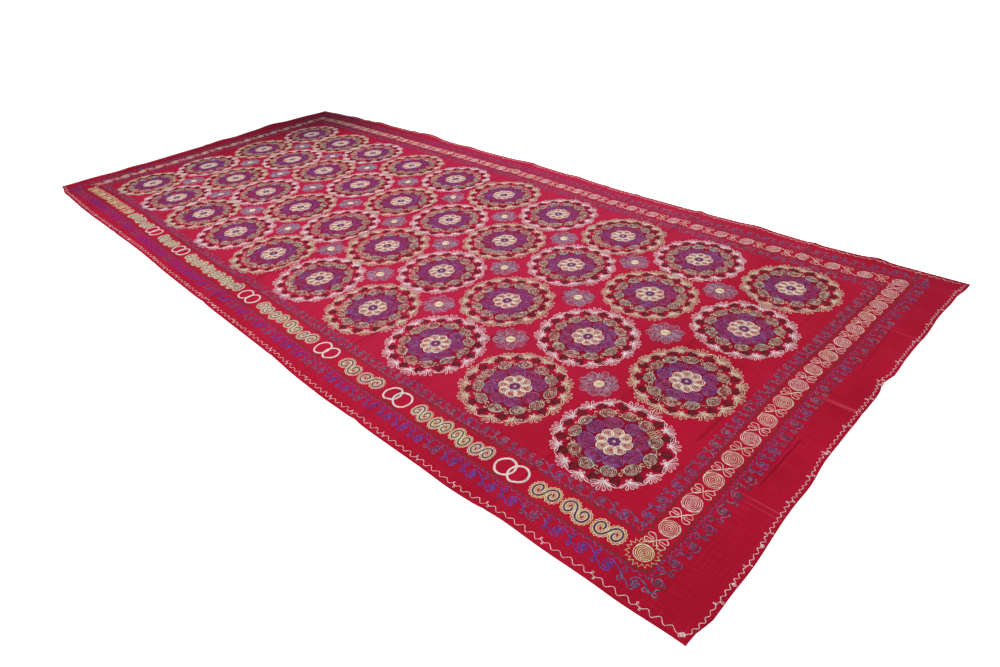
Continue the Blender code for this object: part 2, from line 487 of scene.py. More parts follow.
def thread_tree():
    """Sets motifs out on points, lays their lines on the cloth and sweeps a raised cord along them."""
    tree = bpy.data.node_groups.new("worked_thread", "GeometryNodeTree")
    sockets = [
        ("NodeSocketGeometry", "Places"), ("NodeSocketCollection", "Motifs"),
        ("NodeSocketObject", "Cloth"), ("NodeSocketFloat", "Width"), ("NodeSocketFloat", "Height"),
        ("NodeSocketFloat", "Waver"), ("NodeSocketFloat", "Waver Size"),
        ("NodeSocketFloat", "Lift"), ("NodeSocketInt", "Shades"), ("NodeSocketInt", "Seed"),
        ("NodeSocketMaterial", "Thread"),
    ]
    for kind, name in sockets:
        tree.interface.new_socket(name, in_out="INPUT", socket_type=kind)
    tree.interface.new_socket("Geometry", in_out="OUTPUT", socket_type="NodeSocketGeometry")
    kit = Kit(tree)
    given = kit.add("NodeGroupInput")

    def named(name, kind):
        return kit.add("GeometryNodeInputNamedAttribute", {"data_type": kind}, {"Name": name})

    motifs = kit.add("GeometryNodeCollectionInfo", None, {
        "Collection": given.other("Motifs"),
        "Separate Children": True,
        "Reset Children": True,
    })
    turned = kit.add("ShaderNodeCombineXYZ", None, {"Z": named("turn", "FLOAT")})
    put = kit.add("GeometryNodeInstanceOnPoints", None, {
        "Points": given,
        "Instance": motifs,
        "Pick Instance": True,
        "Instance Index": named("motif", "INT"),
        "Rotation": turned,
        "Scale": named("size", "FLOAT_VECTOR"),
    })
    real = kit.add("GeometryNodeRealizeInstances", None, {"Geometry": put})
    lines = kit.add("GeometryNodeMeshToCurve", None, {"Mesh": real})

    place = kit.add("GeometryNodeInputPosition")
    shaken = kit.add(
        "ShaderNodeTexNoise",
        {"noise_dimensions": "4D"},
        {
            "Vector": place,
            "W": given.other("Seed") * 3.7,
            "Scale": 1.0 / given.other("Waver Size"),
            "Detail": 1.0,
        },
        "Color",
    )
    centred = kit.add("ShaderNodeVectorMath", {"operation": "SUBTRACT"}, {0: shaken, 1: (0.5,) * 3})
    moved = kit.add("ShaderNodeVectorMath", {"operation": "SCALE"}, {
        0: centred,
        "Scale": given.other("Waver") * 4.0,
    })
    lines = kit.add("GeometryNodeSetPosition", None, {"Geometry": lines, "Offset": moved})

    x = kit.add("ShaderNodeSeparateXYZ", None, {0: kit.add("GeometryNodeInputPosition")})
    above = kit.add("ShaderNodeCombineXYZ", None, {"X": x, "Y": x.other("Y"), "Z": 0.2})
    target = kit.add("GeometryNodeObjectInfo", None, {"Object": given.other("Cloth")}, "Geometry")
    struck = kit.add("GeometryNodeRaycast", None, {
        "Target Geometry": target,
        "Source Position": above,
        "Ray Direction": (0.0, 0.0, -1.0),
        "Ray Length": 1.0,
    })
    raised = kit.add("ShaderNodeCombineXYZ", None, {"Z": given.other("Lift") - THREAD_SINK})
    lines = kit.add("GeometryNodeSetPosition", None, {
        "Geometry": lines,
        "Selection": struck,
        "Position": struck.other("Hit Position"),
        "Offset": raised,
    })

    share = kit.add("GeometryNodeSplineParameter")
    run = share.other("Length")
    left = kit.add("GeometryNodeSplineLength") - run
    ends = (run.maths("MINIMUM", left) / THREAD_WIDTH).clamped() * 0.45 + 0.55
    lines = kit.add("GeometryNodeSetCurveRadius", None, {"Curve": lines, "Radius": ends})
    lines = kit.add("GeometryNodeSetCurveNormal", {"mode": "Z_UP"}, {"Curve": lines})
    start = kit.add("FunctionNodeRandomValue", {"data_type": "FLOAT"}, {
        2: 0.0,
        3: 2.0 * DYE_LENGTH,
        "ID": kit.add("GeometryNodeCurveOfPoint"),
        "Seed": given.other("Seed"),
    }, 1)
    lines = kit.add("GeometryNodeStoreNamedAttribute", None, {
        "Geometry": lines,
        "Name": "run",
        "Value": run + start,
    })

    arch = kit.add("GeometryNodeCurveArc", {"mode": "RADIUS"}, {
        "Resolution": 3,
        "Radius": 1.0,
        "Start Angle": math.pi,
        "Sweep Angle": math.pi,
    })
    size = kit.add("ShaderNodeCombineXYZ", None, {
        "X": given.other("Width") / 2.0,
        "Y": given.other("Height"),
        "Z": 1.0,
    })
    arch = kit.add("GeometryNodeTransform", None, {"Geometry": arch, "Scale": size})
    arch = kit.add("GeometryNodeStoreNamedAttribute", None, {
        "Geometry": arch,
        "Name": "across",
        "Value": kit.add("GeometryNodeSplineParameter"),
    })
    cord = kit.add("GeometryNodeCurveToMesh", None, {"Curve": lines, "Profile Curve": arch})

    u = named("run", "FLOAT").maths("PINGPONG", DYE_LENGTH) / DYE_LENGTH
    v = named("shade", "INT") + named("across", "FLOAT") * 0.90 + 0.05
    flat = kit.add("ShaderNodeCombineXYZ", None, {"X": u, "Y": v / given.other("Shades")})
    cord = kit.add(
        "GeometryNodeStoreNamedAttribute",
        {"data_type": "FLOAT2", "domain": "CORNER"},
        {"Geometry": cord, "Name": "OFBake", "Value": flat},
    )
    cord = kit.add("GeometryNodeSetShadeSmooth", None, {"Geometry": cord})
    cord = kit.add("GeometryNodeRealizeInstances", None, {"Geometry": cord})
    cord = kit.add("GeometryNodeSetMaterial", None, {
        "Geometry": cord,
        "Material": given.other("Thread"),
    })
    kit.add("NodeGroupOutput", None, {0: cord})
    return tree


def thread(name, shades, roughness=0.34, gloss=0.75):
    """Chain-stitched thread. Each shade is a pair of colours that it wanders between on its way."""
    material, kit, shader = new_material(name, roughness, gloss, 0.0)
    place = kit.add("ShaderNodeUVMap", {"uv_map": "OFBake"})
    u = kit.add("ShaderNodeSeparateXYZ", None, {0: place}, "X")
    band = u.other("Y") * len(shades)
    across = band.maths("FRACT")
    settings = {"blend": "CONSTANT"}
    first, second = (
        kit.add(
            "ShaderNodeValToRGB",
            settings | {"stops": [(k / len(shades), dye(*pair[side])) for k, pair in enumerate(shades)]},
            {"Fac": u.other("Y")},
        )
        for side in (0, 1)
    )
    lane = kit.add("ShaderNodeCombineXYZ", None, {"X": u * 38.0, "Y": band.maths("FLOOR") * 5.3})
    wander = kit.add("ShaderNodeTexNoise", None, {"Vector": lane, "Scale": 1.0, "Detail": 2.0})
    colour = kit.mixed(((wander - 0.5) * 5.5 + 0.5).clamped(), first, second)

    stitches = DYE_LENGTH / STITCH_LENGTH
    side = abs(across * 2.0 - 1.0)
    round_up = (1.0 - side * side).clamped()
    link = abs((u * (stitches * math.pi)).maths("SINE"))
    shadow = (side ** 5.0 + (1.0 - link) * 0.20).clamped()
    colour = kit.mixed(shadow * 0.7, colour, dye(36, 2, 14))
    kit.tree.links.new(colour.socket, shader["Base Color"])
    twist = ((u * (stitches * 4.0) + across * 1.5) * (2.0 * math.pi)).maths("SINE")
    relief = round_up * (link * 0.8 + 0.2) + twist * 0.06
    bump = kit.add("ShaderNodeBump", None, {"Strength": 0.6, "Distance": 0.0006, "Height": relief})
    kit.tree.links.new(bump.socket, shader["Normal"])
    return material


THREAD_TREE = thread_tree()


def motif_of(name, lines):
    """One motif of one or more open lines, as an object for the thread tree to set out."""
    points, edges = [], []
    for line in lines:
        first = len(points)
        points += [(x, y, 0.0) for x, y in line]
        edges += [(first + k, first + k + 1) for k in range(len(line) - 1)]
    mesh = bpy.data.meshes.new(name)
    mesh.from_pydata(points, edges, [])
    return bpy.data.objects.new(name, mesh)


def work(name, motifs, places, material, shades, waver=0.0010, waver_size=0.030,
         width=THREAD_WIDTH, height=THREAD_HEIGHT, lift=0.0, seed=1):
    """Works a group of motifs in one material. Each motif is a list of lines in metres."""
    drawn = bpy.data.collections.new(name + "_motifs")
    for k, lines in enumerate(motifs):
        drawn.objects.link(motif_of(f"{name}_{k:03d}", lines))
    plan = bpy.data.meshes.new(name)
    plan.from_pydata([(row[0], row[1], 0.0) for row in places], [], [])
    facts = {
        "turn": ("FLOAT", "value", [row[2] for row in places]),
        "size": ("FLOAT_VECTOR", "vector", [v for row in places for v in (row[3], row[4], 1.0)]),
        "motif": ("INT", "value", [row[5] for row in places]),
        "shade": ("INT", "value", [row[6] for row in places]),
    }
    for fact, (kind, field, values) in facts.items():
        plan.attributes.new(fact, kind, "POINT").data.foreach_set(field, values)
    piece = bpy.data.objects.new(name, plan)
    bpy.context.scene.collection.objects.link(piece)
    modifier = piece.modifiers.new("thread", "NODES")
    modifier.node_group = THREAD_TREE
    chosen = {
        "Motifs": drawn, "Cloth": ground, "Width": width, "Height": height, "Waver": waver,
        "Waver Size": waver_size, "Lift": lift, "Shades": shades, "Seed": seed, "Thread": material,
    }
    for item in THREAD_TREE.interface.items_tree:
        if item.in_out == "INPUT" and item.name in chosen:
            modifier[item.identifier] = chosen[item.name]
    depsgraph = bpy.context.evaluated_depsgraph_get()
    mesh = bpy.data.meshes.new_from_object(piece.evaluated_get(depsgraph))
    piece.modifiers.clear()
    piece.data = mesh
    for left in ("turn", "size", "motif", "shade", "run", "across"):
        if left in mesh.attributes:
            mesh.attributes.remove(mesh.attributes[left])
    mesh.name = name
    for motif in list(drawn.objects):
        bpy.data.objects.remove(motif)
    bpy.data.collections.remove(drawn)
    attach(piece, "root")
    return piece


chance = random.Random(11)
GROWTH = [(0, 0.96), (2, 0.99), (4.5, 1.035), (7, 1.02), (9, 1.0)]  # a place along the rows, the size
MEDALLIONS = []
for along_row in range(10):
    for across_row in range(4):
        x, y = grid_spot(along_row, across_row)
        MEDALLIONS.append((
            x + chance.uniform(-0.003, 0.003),
            y + chance.uniform(-0.003, 0.003),
            chance.uniform(0.0, 2.0 * math.pi),
            along(GROWTH, along_row),
            (along_row + across_row) % 2,
        ))


def around(middle, radius, count, first=0.0, uneven=0.0):
    """Places at even steps on a circle: each with its x, y and the turn that points it outwards."""
    for k in range(count):
        angle = first + 2.0 * math.pi * (k + chance.uniform(-uneven, uneven)) / count
        far = radius * (1.0 + chance.uniform(-uneven, uneven) * 0.15)
        x = middle[0] + far * math.cos(angle)
        y = middle[1] + far * math.sin(angle)
        yield x, y, angle - math.pi / 2.0


heart_places = []
for x, y, turn, grown, kind in MEDALLIONS:
    size = HEART_RADIUS * grown
    heart_places.append(spot(x, y, turn, size, size, 0, 0))
    heart_places.append(spot(x, y, turn, DOT_RADIUS, DOT_RADIUS, 1, 1))
heart_shades = [((36, 12, 84), (112, 62, 160)), ((255, 250, 214), (250, 236, 190))]
work("medallion_hearts", [[spiral(4.8, 54)], [spiral(1.6, 11, 0.15)]], heart_places,
     thread("heart_thread", heart_shades, 0.4, 0.4), len(heart_shades), waver=0.0004)

# The flower round each heart
# Eight petals in cream thread, each filled in with rose. A petal is one spiral that was worked from
# its rose middle and closed with two or three cream rounds.
PETALS = 8
PETAL_RING = 0.0430
PETAL_RADIUS = 0.0215
ROSE_POINTS = 12

petal = spiral(4.2, 48)
flower_places = []
for x, y, turn, grown, kind in MEDALLIONS:
    for px, py, out in around((x, y), PETAL_RING * grown, PETALS, turn, 0.05):
        size = PETAL_RADIUS * grown * chance.uniform(0.93, 1.05)
        spin = out + chance.uniform(-0.6, 0.6)
        flower_places.append(spot(px, py, spin, size, size, 0, 0))
        flower_places.append(spot(px, py, spin, size, size, 1, 1))
flower_shades = [((238, 212, 178), (255, 254, 238)), ((214, 116, 122), (250, 220, 200))]
work("medallion_flowers", [[petal[ROSE_POINTS:]], [petal[:ROSE_POINTS + 1]]], flower_places,
     thread("flower_thread", flower_shades), len(flower_shades), waver=0.0006, lift=0.0001)

# The ring of violet ovals
# Eight ovals worked as spirals in two violets and a plum, so close that they run into each other.
VIOLET_OVALS = 8
VIOLET_RING = 0.090
VIOLET_HALF = (0.0335, 0.0265)

violet_places = []
for x, y, turn, grown, kind in MEDALLIONS:
    ovals = around((x, y), VIOLET_RING * grown, VIOLET_OVALS, turn + 0.3, 0.06)
    for k, (px, py, out) in enumerate(ovals):
        wide = VIOLET_HALF[0] * grown * chance.uniform(0.95, 1.08)
        tall = VIOLET_HALF[1] * grown * chance.uniform(0.92, 1.10)
        shade = chance.choice((0, 0, 1, 2))
        violet_places.append(spot(px, py, out + chance.uniform(-0.12, 0.12), wide, tall, k % 2, shade))
violet_shades = [
    ((44, 8, 84), (150, 70, 170)),
    ((84, 8, 78), (176, 64, 150)),
    ((36, 14, 96), (146, 92, 184)),
]
violet_oval = spiral(4.8, 58)
work("violet_ovals", [[violet_oval], [[(-x, y) for x, y in violet_oval]]], violet_places,
     thread("violet_thread", violet_shades, 0.36, 0.5), len(violet_shades), waver=0.0012, width=0.0036)

# The ring of grey ovals
# Eleven spirals in grey green and beige. Small curls in the same threads fill the gaps between them.
GREY_OVALS = 11
GREY_RING = 0.137
GREY_HALF = (0.0280, 0.0220)
CURL_SIZE = 0.00115


def curl(middle, first, near, far, turns, points):
    """An arm that comes in from a distance far out and curls round to a distance near the middle."""
    line = []
    for k in range(points + 1):
        t = k / points
        angle = math.radians(first) + 2.0 * math.pi * turns * t
        reach = near + (far - near) * (1.0 - t) ** 2.0
        line.append((middle[0] + reach * math.cos(angle), middle[1] + reach * math.sin(angle)))
    return line


upper = curl((3.5, 8.0), -115.0, 2.6, 9.0, 0.95, 9)
squiggle = [(-x, -y) for x, y in reversed(upper)] + upper
wiggles = [
    [(7.0 * k - 10.5 + 2.2 * math.sin(1.9 * j + k), 5.0 * j - 17.5) for j in range(8)]
    for k in range(4)
]
grey_places = []
for x, y, turn, grown, kind in MEDALLIONS:
    bundle = chance.randrange(GREY_OVALS)
    for k, (px, py, out) in enumerate(around((x, y), GREY_RING * grown, GREY_OVALS, turn, 0.06)):
        wide = GREY_HALF[0] * grown * chance.uniform(0.92, 1.06)
        tall = GREY_HALF[1] * grown * chance.uniform(0.94, 1.08)
        lean = out + chance.uniform(-0.15, 0.15)
        grey_places.append(spot(px, py, lean, wide, tall, k % 2, chance.choice((0, 0, 1, 2))))
    between = turn + math.pi / GREY_OVALS
    gaps = around((x, y), GREY_RING * grown + 0.004, GREY_OVALS, between, 0.04)
    for k, (px, py, out) in enumerate(gaps):
        motif = 3 if k == bundle else 2
        size = CURL_SIZE * chance.uniform(0.9, 1.15)
        side = chance.choice((-1.0, 1.0))
        grey_places.append(spot(px, py, out, size * side, size, motif, chance.choice((1, 3, 3))))
grey_shades = [
    ((70, 70, 52), (214, 230, 204)),
    ((104, 84, 62), (232, 222, 196)),
    ((62, 74, 58), (226, 242, 218)),
    ((196, 160, 118), (250, 236, 200)),
]
oval = spiral(4.1, 52)
work("grey_ovals", [[oval], [[(-x, y) for x, y in oval]], [squiggle], wiggles], grey_places,
     thread("grey_thread", grey_shades), len(grey_shades), waver=0.0010, width=0.0032)

# The ring of dark spirals
# Fifteen close spirals in a maroon that is nearly black, each of three rounds.
DARK_SPIRALS = 15
DARK_RING = 0.176
DARK_HALF = (0.0135, 0.0160)

dark_places = []
for x, y, turn, grown, kind in MEDALLIONS:
    for px, py, out in around((x, y), DARK_RING * grown, DARK_SPIRALS, turn, 0.05):
        wide = DARK_HALF[0] * chance.uniform(0.92, 1.10)
        tall = DARK_HALF[1] * chance.uniform(0.92, 1.10)
        spin = out + chance.uniform(-0.5, 0.5)
        dark_places.append(spot(px, py, spin, wide, tall, 0, chance.choice((0, 0, 1))))
dark_shades = [((12, 0, 3), (52, 3, 12)), ((18, 1, 6), (78, 6, 20))]
work("dark_spirals", [[spiral(3.3, 36)]], dark_places,
     thread("dark_thread", dark_shades, 0.5, 0.15), len(dark_shades), waver=0.0008, width=0.0042)

# The fringe of each medallion
# Palmettes of five to seven narrow loops in white or cream by turns, one in each gap between the dark
# spirals, and joined by a thread that waves round them. Each palmette is one unbroken line.
WAIST_RING = 0.180
LOOP_WIDTH = 0.0080
WAVE_REACH = 0.024
WAVE_STEPS = 10


def loop(angle, length, width, points=9):
    """A narrow closed loop from the origin out at an angle, with a round tip."""
    line = []
    for k in range(points + 1):
        t = math.pi * k / points
        out = length * math.sin(t)
        side = width * 0.5 * (math.sin(2.0 * t) - 0.35 * math.sin(4.0 * t))
        line.append((
            out * math.sin(angle) + side * math.cos(angle),
            out * math.cos(angle) - side * math.sin(angle),
        ))
    return line


def palmette(count, spread, long, short):
    """Loops in a fan, longest at its sides, and two small ones turned back at the waist."""
    line = []
    for k in range(count):
        share = 2.0 * k / (count - 1) - 1.0
        length = short + (long - short) * abs(share)
        line += loop(math.radians(spread) * share, length, LOOP_WIDTH)
    for side in (-1.0, 1.0):
        line += loop(side * math.radians(128.0), 0.013, 0.0070, 6)
    return line


PALMETTES = [
    [palmette(5, 70.0, 0.041, 0.039)],
    [palmette(5, 62.0, 0.043, 0.036)],
    [palmette(6, 74.0, 0.040, 0.039)],
]
wave = []
for k in range(DARK_SPIRALS * WAVE_STEPS + 1):
    angle = 2.0 * math.pi * k / (DARK_SPIRALS * WAVE_STEPS)
    far = WAIST_RING - 0.001 + WAVE_REACH * abs(math.sin(angle * DARK_SPIRALS / 2.0)) ** 0.9
    wave.append((far * math.cos(angle), far * math.sin(angle)))
fringe_shades = [
    [((220, 178, 192), (255, 254, 255))],
    [((192, 166, 132), (248, 244, 218))],
]
for kind, name in enumerate(("white_fringe", "cream_fringe")):
    fringe_places = []
    for x, y, turn, grown, own_kind in MEDALLIONS:
        if own_kind != kind:
            continue
        first = turn + math.pi / DARK_SPIRALS
        for px, py, out in around((x, y), WAIST_RING * grown, DARK_SPIRALS, first, 0.04):
            size = grown * chance.uniform(0.90, 1.06)
            lean = out + chance.uniform(-0.14, 0.14)
            motif = chance.choice((0, 0, 1, 2))
            fringe_places.append(spot(px, py, lean, size, size, motif, 0))
        fringe_places.append(spot(x, y, first, grown, grown, 3, 0))
    work(name, PALMETTES + [[wave]], fringe_places,
         thread(name + "_thread", fringe_shades[kind]), 1, waver=0.0018, width=0.0025,
         lift=0.0002 + 0.0003 * kind, seed=3 + kind)

# The rosettes between the medallions
# A cream disc with a dark blue dot, and round it eight thin petals in greyish violet and blue that
# are drawn as spirals with a few straight lines through them.
ROSETTE_DISC = 0.0195
ROSETTE_DOT = 0.0032
ROSETTE_RING = 0.0505
ROSETTE_HALF = (0.0195, 0.0240)

ray_lines = [
    [(0.0045 * k, 0.022 + 0.001 * abs(k)), (0.0072 * k, 0.044), (0.0100 * k, 0.068 - 0.002 * abs(k))]
    for k in (-2, -1, 0, 1, 2)
]
rosette_places = []
for along_row in range(9):
    for across_row in range(3):
        x, y = grid_spot(along_row + 0.5, across_row + 0.5)
        x += chance.uniform(-0.004, 0.004)
        y += chance.uniform(-0.004, 0.004)
        turn = chance.uniform(0.0, math.pi)
        rosette_places.append(spot(x, y, turn, ROSETTE_DISC, ROSETTE_DISC, 0, 0))
        rosette_places.append(spot(x, y, turn, ROSETTE_DOT, ROSETTE_DOT, 1, 1))
        for k, (px, py, out) in enumerate(around((x, y), ROSETTE_RING, 8, turn, 0.06)):
            wide = ROSETTE_HALF[0] * chance.uniform(0.9, 1.1)
            tall = ROSETTE_HALF[1] * chance.uniform(0.9, 1.1)
            shade = 2 + chance.randrange(3)
            rosette_places.append(spot(px, py, out, wide, tall, 2, shade))
            rosette_places.append(spot(x, y, out, 1.0, 1.0, 3, shade))
rosette_shades = [
    ((236, 234, 176), (255, 255, 228)),
    ((4, 8, 52), (16, 34, 92)),
    ((40, 14, 78), (178, 186, 212)),
    ((24, 32, 92), (160, 196, 220)),
    ((78, 16, 82), (186, 156, 194)),
]
work("rosettes", [[spiral(7.8, 78, 0.05)], [spiral(1.6, 11, 0.15)], [spiral(3.2, 34)], ray_lines],
     rosette_places, thread("rosette_thread", rosette_shades), len(rosette_shades), width=0.0022)

# The scroll borders
# Two rows of running scrolls in blue and violet frame the field, one inside and one outside the wide
# border. A unit is a spiral, a stem that swings over to the next one, and a pair of tiny loops.
NEAR_ROW = [(-0.94, 2.260), (-0.80, 2.268), (0.0, 2.264), (0.43, 2.278), (0.92, 2.290)]
FAR_ROW = [(-0.96, -2.238), (-0.40, -2.242), (0.0, -2.262), (0.50, -2.280), (0.94, -2.289)]
BACK_ROW = [
    (-2.29, 0.940), (-2.00, 0.955), (-1.30, 0.954), (-0.40, 0.948), (0.15, 0.939),
    (0.45, 0.925), (0.85, 0.902), (1.30, 0.896), (2.10, 0.896), (2.29, 0.915),
]
FRONT_ROW = [
    (-2.24, -0.960), (-1.90, -0.952), (-1.50, -0.952), (-1.06, -0.9645), (-0.60, -0.972),
    (0.10, -0.968), (1.00, -0.972), (1.35, -0.963), (1.80, -0.952), (2.26, -0.937),
]
SIDES = {  # the row that a side is measured from, the turn of its motifs, the way they run
    "near": (NEAR_ROW, -90.0, -1.0),
    "front": (FRONT_ROW, 180.0, -1.0),
    "far": (FAR_ROW, 90.0, 1.0),
    "back": (BACK_ROW, 0.0, 1.0),
}
SCROLLS = [  # how far out a row is on the near, front, far and back side, its unit, and the front's
    (0.077, 0.086, 0.071, 0.086, 0.0765, 0.083),
    (-0.071, -0.080, -0.078, -0.080, 0.0745, 0.078),
]


def side_spot(side, row, place, out):
    """The point at a place along a side, a distance out from a row of points on that side."""
    level = along(row, place)
    if side == "near":
        return level + out, place
    if side == "far":
        return level - out, place
    if side == "back":
        return place, level + out
    return place, level - out


def row_spot(side, place, out):
    """The point at a place along a side, a distance out from the middle row of its border."""
    return side_spot(side, SIDES[side][0], place, out)


def side_span(side, outs):
    """Where a border line starts and ends along a side, given how far out it is on each side."""
    near, front, far, back = outs
    if side == "near":
        return FRONT_ROW[-1][1] - front, BACK_ROW[-1][1] + back
    if side == "far":
        return FRONT_ROW[0][1] - front, BACK_ROW[0][1] + back
    if side == "back":
        return FAR_ROW[-1][1] - far, NEAR_ROW[-1][1] + near
    return FAR_ROW[0][1] - far, NEAR_ROW[0][1] + near


def along_side(side, outs, unit):
    """Places for equal units along a side: x, y, the turn, and how much each is stretched to fit."""
    start, end = side_span(side, outs)
    out = dict(zip(SIDES, outs))[side]
    count = max(1, round((end - start) / unit))
    step = (end - start) / count
    way = SIDES[side][2]
    for k in range(count):
        place = start + (k + 0.5) * step
        x, y = row_spot(side, place, out)
        ax, ay = row_spot(side, place - way * step * 0.5, out)
        bx, by = row_spot(side, place + way * step * 0.5, out)
        yield x, y, math.atan2(by - ay, bx - ax), math.hypot(bx - ax, by - ay) / unit


inner = [(-x, -y) for x, y in reversed(spiral(2.5, 26, 0.10, 1.1))]
turn_in = math.radians(-118.0) - math.atan2(inner[0][1], inner[0][0])
SCROLL_RADIUS = 15.5
SCROLL_LENGTH = 0.075
rolled = [
    (
        SCROLL_RADIUS * (x * math.cos(turn_in) + y * math.sin(turn_in)),
        SCROLL_RADIUS * (x * math.sin(turn_in) - y * math.cos(turn_in)),
    )
    for x, y in inner
]
scroll_unit = [
    [(-37.5, 0.0), (-31.0, -3.5), (-24.0, -8.5), (-17.0, -12.5)] + curl((0, 0), -128.0, 2.6, 17.5, 2.8, 28),
    curl((0, 0), 128.0, 22.0, 15.5, -0.30, 7) + [(30.0, 8.0), (37.5, 0.0)],
    curl((35.5, 13.5), 250.0, 5.4, 6.5, 0.95, 8) + [(37.5, 3.0), (39.5, -3.0)]
    + curl((39.0, -13.5), 90.0, 5.4, 6.5, 0.95, 8),
]
scroll_unit = [[(x * 0.001, y * 0.001) for x, y in line] for line in scroll_unit]
scroll_shades = [
    ((24, 16, 76), (96, 98, 160)),
    ((38, 14, 62), (124, 112, 146)),
    ((60, 14, 64), (106, 80, 136)),
    ((6, 8, 118), (48, 56, 190)),
]
scroll_places = []
for ring, (*outs, unit, front_unit) in enumerate(SCROLLS):
    for side in SIDES:
        unit = front_unit if side == "front" else unit
        for x, y, turn, stretch in along_side(side, outs, unit):
            if ring == 0 and side == "front":
                shade = chance.choice((0, 3, 3))
            else:
                shade = chance.choice((0, 1, 1, 2))
            size = unit / SCROLL_LENGTH
            scroll_places.append(spot(x, y, turn, size * stretch, size, 0, shade))
work("border_scrolls", [scroll_unit], scroll_places,
     thread("scroll_thread", scroll_shades, 0.4, 0.35), len(scroll_shades), waver=0.0014, width=0.0042)

# The waved and zigzag lines
# A violet line that waves and a dark green zigzag run beside each row of scrolls, on both sides of
# the wide border.
WAVES = [  # how far out on the near, front, far and back side, then the pitch and the reach
    (0.053, 0.057, 0.052, 0.056, 0.0200, 0.0042),
    (-0.050, -0.061, -0.052, -0.053, 0.0195, 0.0042),
]
ZIGZAGS = [
    (0.041, 0.048, 0.042, 0.046, 0.0205, 0.0055),
    (-0.040, -0.050, -0.042, -0.042, 0.0205, 0.0055),
]


def waving(outs, pitch, reach, points):
    """A closed line round the border that swings in and out, with this many points to a pitch."""
    lines = []
    for side in SIDES:
        start, end = side_span(side, outs)
        out = dict(zip(SIDES, outs))[side]
        count = round((end - start) / pitch)
        line = []
        for j in range(count * points + 1):
            inside = 0 < j < count * points
            swing = reach * math.sin(2.0 * math.pi * (j / points + 0.25)) if inside else 0.0
            line.append(row_spot(side, start + (end - start) * j / (count * points), out + swing))
        lines.append(line)
    return lines


wave_lines = [waving(outs, pitch, reach, 6) for *outs, pitch, reach in WAVES]
wave_shades = [((54, 14, 96), (104, 84, 160)), ((52, 22, 88), (128, 104, 156))]
work("violet_waves", wave_lines, [spot(0.0, 0.0, motif=k, shade=k) for k in range(len(WAVES))],
     thread("wave_thread", wave_shades, 0.4, 0.35), len(wave_shades), waver=0.0014, width=0.0030)
zigzag_lines = [waving(outs, pitch, reach, 2) for *outs, pitch, reach in ZIGZAGS]
zigzag_shades = [((12, 22, 4), (66, 52, 18)), ((10, 26, 8), (58, 48, 16))]
work("green_zigzags", zigzag_lines, [spot(0.0, 0.0, motif=k, shade=k) for k in range(len(ZIGZAGS))],
     thread("zigzag_thread", zigzag_shades, 0.5, 0.3), len(zigzag_shades), waver=0.0012, width=0.0042)

# The wide border
# Large cream spiral discs. From each the thread crosses over to the next, and where it crosses, a
# curled bracket stands on either side. It runs along three sides and a little way up the front.
DISC_RADIUS = 0.0300
DISC_PITCH = {"near": 0.1165, "far": 0.118, "back": 0.131}
LINK_PITCH = 0.118
LINK_INSET = 0.012
LINK_SWING = 0.0295
FRONT_DISCS = [-1.505, -1.635, -1.755, -1.870, -1.990, -2.115]
HALF_BRACKET = [  # one lobe of a bracket in millimetres, from the crossing round to its turned-in arm
    (0.0, 0.0), (8.0, 5.0), (15.0, 10.0), (19.5, 17.5), (17.5, 26.0), (10.5, 31.0), (5.0, 28.0),
    (4.2, 19.0), (4.2, 11.5), (0.0, 8.0),
]


def flowing(points, steps=3):
    """A smooth line through the points."""
    line = []
    padded = [points[0]] + list(points) + [points[-1]]
    for a, b, c, d in zip(padded, padded[1:], padded[2:], padded[3:]):
        for k in range(steps):
            t = k / steps
            line.append(tuple(
                0.5 * (2.0 * q + (r - p) * t + (2.0 * p - 5.0 * q + 4.0 * r - s) * t * t
                       + (3.0 * q - p - 3.0 * r + s) * t ** 3)
                for p, q, r, s in zip(a, b, c, d)
            ))
    return line + [points[-1]]


lobe = flowing(HALF_BRACKET)
bracket = lobe + [(-x, y) for x, y in reversed(lobe[:-1])]
brackets = [[(x * 0.001, side * y * 0.001) for x, y in bracket] for side in (1.0, -1.0)]


link_span = LINK_PITCH - 2.0 * LINK_INSET  # the thread from the top of one disc to the foot of the next
disc_link = [
    (-link_span / 2.0 + link_span * k / 8.0, LINK_SWING * math.cos(math.pi * k / 8.0))
    for k in range(9)
]
disc_places = []
for side, pitch in DISC_PITCH.items():
    ends = side_span(side, (0.0, 0.0, 0.0, 0.0))
    count = round((ends[1] - ends[0]) / pitch)
    way = SIDES[side][2]
    for k in range(count + 1):
        t = k / count
        if side == "back":
            t = t - 0.05 * t * (1.0 - t)
        place = ends[0] + (ends[1] - ends[0]) * t
        x, y = row_spot(side, place, 0.0)
        corner = side != "back" and k in (0, count)
        if not corner:
            size = DISC_RADIUS * chance.uniform(0.94, 1.08)
            disc_places.append(spot(x, y, chance.uniform(0.0, 6.0), size, size, 0, chance.randrange(2)))
        if k < count:
            after = ends[0] + (ends[1] - ends[0]) * (t + 0.5 / count)
            x, y = row_spot(side, after, 0.0)
            turn = math.radians(SIDES[side][1])
            shade = chance.randrange(2)
            disc_places.append(spot(x, y, turn, chance.uniform(0.92, 1.05), 1.0, 1, shade))
            disc_places.append(spot(x, y, turn, pitch / LINK_PITCH, 1.0, 2, shade))
for a, b in zip(FRONT_DISCS, FRONT_DISCS[1:] + [FAR_ROW[0][1]]):
    x, y = row_spot("front", a, 0.0)
    size = DISC_RADIUS * chance.uniform(0.94, 1.05)
    disc_places.append(spot(x, y, chance.uniform(0.0, 6.0), size, size, 0, 2))
    x, y = row_spot("front", (a + b) / 2.0, 0.0)
    disc_places.append(spot(x, y, math.pi, 1.0, 1.0, 1, 2))
    disc_places.append(spot(x, y, math.pi, 1.0, 1.0, 2, 2))

